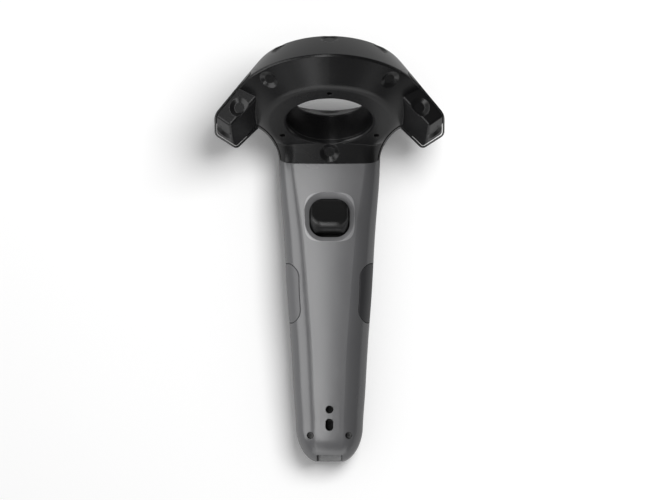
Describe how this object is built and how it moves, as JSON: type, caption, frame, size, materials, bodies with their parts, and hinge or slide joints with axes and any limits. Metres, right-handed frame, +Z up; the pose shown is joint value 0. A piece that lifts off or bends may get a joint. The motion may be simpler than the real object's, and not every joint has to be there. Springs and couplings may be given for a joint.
{
  "type": "motion controller wand",
  "caption": "Handheld motion controller wand with a tilted tracking ring, side wings, a tapered grip, a trigger, a round trackpad and grip buttons.",
  "frame": {"origin": "under the middle of the wand, on the surface it lies on", "axes": "+Z up on the trigger side, +Y along the grip towards the ring, +X across to the wand's right as seen from above"},
  "size_m": [0.1172, 0.2169, 0.085],
  "materials": {
    "head_plastic": "satin near-black moulding",
    "grip_plastic": "fine satin grey moulding",
    "grip_button_grey": "fine satin",
    "grip_button_dark": "fine satin",
    "gloss_black": "polished",
    "pad_black": "fine matt",
    "screw_steel": "plain",
    "dark_steel": "blackened",
    "inner_plastic": "as moulded",
    "flex_film": "amber film",
    "sensor_black": "infrared filter",
    "board_green": "solder mask",
    "chip_black": "moulded package",
    "switch_black": "moulded",
    "can_steel": "stamped",
    "magnet_steel": "plated",
    "spring_steel": "wound wire",
    "battery_wrap": "foil pouch",
    "foam": "closed cell",
    "lens": "clear light pipe",
    "led_white": "moulded"
  },
  "bodies": {
    "wand": {"antenna": "flex_film", "back_sensors": "sensor_black", "battery": "battery_wrap", "battery_board": "board_green", "battery_foam": "foam", "board_chips": "chip_black", "board_screws": "screw_steel", "chassis": "inner_plastic", "chassis_screws": "screw_steel", "front_sensors": "sensor_black", "grip_switch_left": "switch_black", "grip_switch_right": "switch_black", "hall_sensor": "chip_black", "handle_back_shell": "grip_plastic", "handle_front_shell": "grip_plastic", "haptic_actuator": "can_steel", "head_back_cover": "head_plastic", "head_front_cover": "head_plastic", "main_board": "board_green", "menu_switch": "switch_black", "neck_screws": "screw_steel", "ring_screws": "screw_steel", "sensor_carrier": "inner_plastic", "sensor_flex": "flex_film", "shield_can": "can_steel", "status_led": "led_white", "status_light_lens": "lens", "system_switch": "switch_black", "tail_screws": "dark_steel", "trackpad_dome": "can_steel", "trigger_bracket": "inner_plastic", "trigger_pin": "screw_steel", "trigger_spring": "spring_steel", "trigger_switch": "switch_black", "usb_board": "board_green", "usb_lead": "flex_film", "usb_socket": "can_steel"},
    "trigger": {"trigger": "gloss_black", "trigger_magnet": "magnet_steel"},
    "trackpad": {"trackpad": "pad_black", "trackpad_board": "board_green"},
    "menu_button": {"menu_button": "gloss_black"},
    "system_button": {"system_button": "gloss_black"},
    "grip_button_left": {"grip_button_left": "grip_button_grey"},
    "grip_button_right": {"grip_button_right": "grip_button_dark"}
  },
  "joints": [
    {"name": "trigger_pull", "type": "hinge", "parent": "wand", "child": "trigger", "pos_m": [0, 0.028, 0.021], "axis": [1, 0, 0], "range_deg": [0, 17], "stiffness_Nm_per_rad": 0.04, "springref_deg": -17.19},
    {"name": "trackpad_press", "type": "slide", "parent": "wand", "child": "trackpad", "axis": [0, -0.0373, 0.9993], "range_m": [0, 0.0005], "stiffness_N_per_m": 3000, "springref_m": -0.0004},
    {"name": "menu_press", "type": "slide", "parent": "wand", "child": "menu_button", "axis": [0, -0.0373, 0.9993], "range_m": [0, 0.0005], "stiffness_N_per_m": 2000, "springref_m": -0.0004},
    {"name": "system_press", "type": "slide", "parent": "wand", "child": "system_button", "axis": [0, -0.0373, 0.9993], "range_m": [0, 0.0005], "stiffness_N_per_m": 2000, "springref_m": -0.0004},
    {"name": "grip_left_press", "type": "slide", "parent": "wand", "child": "grip_button_left", "axis": [0.866, 0, -0.5], "range_m": [0, 0.0008], "stiffness_N_per_m": 2500, "springref_m": -0.0005},
    {"name": "grip_right_press", "type": "slide", "parent": "wand", "child": "grip_button_right", "axis": [-0.866, 0, -0.5], "range_m": [0, 0.0008], "stiffness_N_per_m": 2500, "springref_m": -0.0005}
  ]
}
